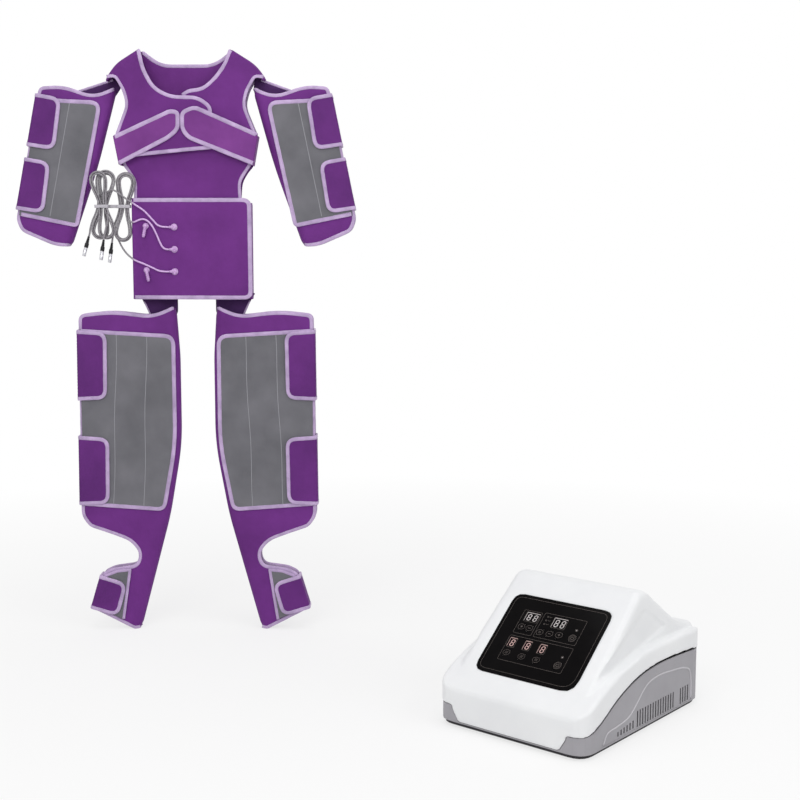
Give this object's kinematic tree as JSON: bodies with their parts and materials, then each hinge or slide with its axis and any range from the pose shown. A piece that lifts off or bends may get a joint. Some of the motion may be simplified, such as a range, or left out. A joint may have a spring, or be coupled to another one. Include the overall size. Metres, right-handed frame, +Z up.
{
  "type": "pressotherapy suit",
  "caption": "Full body air pressure suit with hook tabs, waist wrap and coiled cables, and its sloped control console with touch keys.",
  "frame": {"origin": "middle of the object's box at floor level, measured without the free cables", "axes": "+Z up, -Y the side that the suit and its console face, +X along the suit's arms from its left in the picture to the console's side"},
  "size_m": [1.7264, 1.007, 1.5787],
  "materials": {
    "purple_fabric": "coated nylon, quilted",
    "strap_fabric": "coated nylon hook tab with a lilac binding",
    "loop_fabric": "brushed loop pile",
    "cable_jacket": "smooth satin jacket",
    "tie_tape": "woven tape",
    "plug_metal": "nickel plated shell with a black boot",
    "lilac_rubber": "translucent soft rubber",
    "white_plastic": "moulded, glossy",
    "grey_plastic": "moulded, satin",
    "black_plastic": "moulded, satin",
    "black_panel": "glossy printed front",
    "circuit_board": "solder mask",
    "pump_metal": "die cast"
  },
  "bodies": {
    "suit_and_console": {"vest_back": "purple_fabric", "vest_front_left": "purple_fabric", "vest_front_right": "purple_fabric", "abdomen_panel": "purple_fabric", "sleeve_left": "purple_fabric", "sleeve_right": "purple_fabric", "sleeve_loop_panel_left": "loop_fabric", "sleeve_loop_panel_right": "loop_fabric", "leg_left": "purple_fabric", "leg_right": "purple_fabric", "leg_loop_panel_left": "loop_fabric", "leg_loop_panel_right": "loop_fabric", "foot_loop_panel_left": "loop_fabric", "foot_loop_panel_right": "loop_fabric", "cable_hank_1": "cable_jacket", "cable_hank_2": "cable_jacket", "cable_hank_3": "cable_jacket", "cable_plug_1": "plug_metal", "cable_plug_2": "plug_metal", "cable_plug_3": "plug_metal", "cable_tie": "tie_tape", "upper_cover": "white_plastic", "lower_case": "grey_plastic", "console_base": "black_plastic", "rear_plate": "black_plastic", "panel_glass": "black_panel", "air_pump": "pump_metal", "control_board": "circuit_board"},
    "chest_strap_left_body": {"chest_strap_left": "strap_fabric"},
    "sleeve_tab_upper_left_body": {"sleeve_tab_upper_left": "strap_fabric"},
    "leg_tab_upper_left_body": {"leg_tab_upper_left": "strap_fabric"},
    "sleeve_tab_lower_left_body": {"sleeve_tab_lower_left": "strap_fabric"},
    "leg_tab_lower_left_body": {"leg_tab_lower_left": "strap_fabric"},
    "foot_tab_left_body": {"foot_tab_left": "strap_fabric"},
    "chest_strap_right_body": {"chest_strap_right": "strap_fabric"},
    "sleeve_tab_upper_right_body": {"sleeve_tab_upper_right": "strap_fabric"},
    "leg_tab_upper_right_body": {"leg_tab_upper_right": "strap_fabric"},
    "sleeve_tab_lower_right_body": {"sleeve_tab_lower_right": "strap_fabric"},
    "leg_tab_lower_right_body": {"leg_tab_lower_right": "strap_fabric"},
    "foot_tab_right_body": {"foot_tab_right": "strap_fabric"},
    "waist_wrap_body": {"waist_wrap": "purple_fabric", "cable_gland_1": "lilac_rubber", "cable_gland_2": "lilac_rubber", "cable_gland_3": "lilac_rubber", "air_nozzle_1": "lilac_rubber", "air_nozzle_2": "lilac_rubber", "cable_lead_1": "cable_jacket", "cable_lead_2": "cable_jacket", "cable_lead_3": "cable_jacket"},
    "key_programme_up_body": {"key_programme_up": "black_panel"},
    "key_programme_down_body": {"key_programme_down": "black_panel"},
    "key_mode_body": {"key_mode": "black_panel"},
    "key_time_minus_body": {"key_time_minus": "black_panel"},
    "key_time_plus_body": {"key_time_plus": "black_panel"},
    "key_start_pressure_body": {"key_start_pressure": "black_panel"},
    "key_heat_arms_body": {"key_heat_arms": "black_panel"},
    "key_heat_belly_body": {"key_heat_belly": "black_panel"},
    "key_heat_legs_body": {"key_heat_legs": "black_panel"},
    "key_start_heat_body": {"key_start_heat": "black_panel"},
    "power_rocker_body": {"power_rocker": "black_plastic"}
  },
  "joints": [
    {"name": "chest_strap_left_hinge", "type": "hinge", "parent": "suit_and_console", "child": "chest_strap_left_body", "pos_m": [-0.58489, 0.44483, 1.314], "axis": [0.1724, 0, -0.985], "range_deg": [0, 140]},
    {"name": "sleeve_tab_upper_left_hinge", "type": "hinge", "parent": "suit_and_console", "child": "sleeve_tab_upper_left_body", "pos_m": [-0.83189, 0.50103, 1.299], "axis": [-0.1995, 0, -0.9799], "range_deg": [0, 110]},
    {"name": "leg_tab_upper_left_hinge", "type": "hinge", "parent": "suit_and_console", "child": "leg_tab_upper_left_body", "pos_m": [-0.70889, 0.50103, 0.599], "axis": [-0.0108, 0, -0.9999], "range_deg": [0, 110]},
    {"name": "sleeve_tab_lower_left_hinge", "type": "hinge", "parent": "suit_and_console", "child": "sleeve_tab_lower_left_body", "pos_m": [-0.83189, 0.50103, 1.299], "axis": [-0.1995, 0, -0.9799], "range_deg": [0, 110]},
    {"name": "leg_tab_lower_left_hinge", "type": "hinge", "parent": "suit_and_console", "child": "leg_tab_lower_left_body", "pos_m": [-0.70889, 0.50103, 0.599], "axis": [-0.0108, 0, -0.9999], "range_deg": [0, 110]},
    {"name": "foot_tab_left_hinge", "type": "hinge", "parent": "suit_and_console", "child": "foot_tab_left_body", "pos_m": [-0.67389, 0.50103, 0.1085], "axis": [-0.29, 0, -0.957], "range_deg": [0, 110]},
    {"name": "chest_strap_right_hinge", "type": "hinge", "parent": "suit_and_console", "child": "chest_strap_right_body", "pos_m": [-0.21729, 0.44483, 1.314], "axis": [0.1724, 0, 0.985], "range_deg": [0, 140]},
    {"name": "sleeve_tab_upper_right_hinge", "type": "hinge", "parent": "suit_and_console", "child": "sleeve_tab_upper_right_body", "pos_m": [0.01971, 0.50103, 1.299], "axis": [-0.1995, 0, 0.9799], "range_deg": [0, 110]},
    {"name": "leg_tab_upper_right_hinge", "type": "hinge", "parent": "suit_and_console", "child": "leg_tab_upper_right_body", "pos_m": [-0.06129, 0.50103, 0.599], "axis": [-0.0108, 0, 0.9999], "range_deg": [0, 110]},
    {"name": "sleeve_tab_lower_right_hinge", "type": "hinge", "parent": "suit_and_console", "child": "sleeve_tab_lower_right_body", "pos_m": [0.01971, 0.50103, 1.299], "axis": [-0.1995, 0, 0.9799], "range_deg": [0, 110]},
    {"name": "leg_tab_lower_right_hinge", "type": "hinge", "parent": "suit_and_console", "child": "leg_tab_lower_right_body", "pos_m": [-0.06129, 0.50103, 0.599], "axis": [-0.0108, 0, 0.9999], "range_deg": [0, 110]},
    {"name": "foot_tab_right_hinge", "type": "hinge", "parent": "suit_and_console", "child": "foot_tab_right_body", "pos_m": [-0.09629, 0.50103, 0.1085], "axis": [-0.29, 0, 0.957], "range_deg": [0, 110]},
    {"name": "waist_wrap_hinge", "type": "hinge", "parent": "suit_and_console", "child": "waist_wrap_body", "pos_m": [-0.54609, 0.45693, 1.052], "axis": [0, 0, -1], "range_deg": [0, 80], "deforming": ["cable_lead_1", "cable_lead_2", "cable_lead_3"]},
    {"name": "key_programme_up_press", "type": "slide", "parent": "suit_and_console", "child": "key_programme_up_body", "axis": [0.4132, 0.4924, -0.766], "range_m": [0, 0.0005], "stiffness_N_per_m": 400, "springref_m": -0.0005},
    {"name": "key_programme_down_press", "type": "slide", "parent": "suit_and_console", "child": "key_programme_down_body", "axis": [0.4132, 0.4924, -0.766], "range_m": [0, 0.0005], "stiffness_N_per_m": 400, "springref_m": -0.0005},
    {"name": "key_mode_press", "type": "slide", "parent": "suit_and_console", "child": "key_mode_body", "axis": [0.4132, 0.4924, -0.766], "range_m": [0, 0.0005], "stiffness_N_per_m": 400, "springref_m": -0.0005},
    {"name": "key_time_minus_press", "type": "slide", "parent": "suit_and_console", "child": "key_time_minus_body", "axis": [0.4132, 0.4924, -0.766], "range_m": [0, 0.0005], "stiffness_N_per_m": 400, "springref_m": -0.0005},
    {"name": "key_time_plus_press", "type": "slide", "parent": "suit_and_console", "child": "key_time_plus_body", "axis": [0.4132, 0.4924, -0.766], "range_m": [0, 0.0005], "stiffness_N_per_m": 400, "springref_m": -0.0005},
    {"name": "key_start_pressure_press", "type": "slide", "parent": "suit_and_console", "child": "key_start_pressure_body", "axis": [0.4132, 0.4924, -0.766], "range_m": [0, 0.0005], "stiffness_N_per_m": 400, "springref_m": -0.0005},
    {"name": "key_heat_arms_press", "type": "slide", "parent": "suit_and_console", "child": "key_heat_arms_body", "axis": [0.4132, 0.4924, -0.766], "range_m": [0, 0.0005], "stiffness_N_per_m": 400, "springref_m": -0.0005},
    {"name": "key_heat_belly_press", "type": "slide", "parent": "suit_and_console", "child": "key_heat_belly_body", "axis": [0.4132, 0.4924, -0.766], "range_m": [0, 0.0005], "stiffness_N_per_m": 400, "springref_m": -0.0005},
    {"name": "key_heat_legs_press", "type": "slide", "parent": "suit_and_console", "child": "key_heat_legs_body", "axis": [0.4132, 0.4924, -0.766], "range_m": [0, 0.0005], "stiffness_N_per_m": 400, "springref_m": -0.0005},
    {"name": "key_start_heat_press", "type": "slide", "parent": "suit_and_console", "child": "key_start_heat_body", "axis": [0.4132, 0.4924, -0.766], "range_m": [0, 0.0005], "stiffness_N_per_m": 400, "springref_m": -0.0005},
    {"name": "power_rocker_tilt", "type": "hinge", "parent": "suit_and_console", "child": "power_rocker_body", "pos_m": [0.77921, -0.04256, 0.083], "axis": [0.766, -0.6428, 0], "range_deg": [0, 16]}
  ]
}
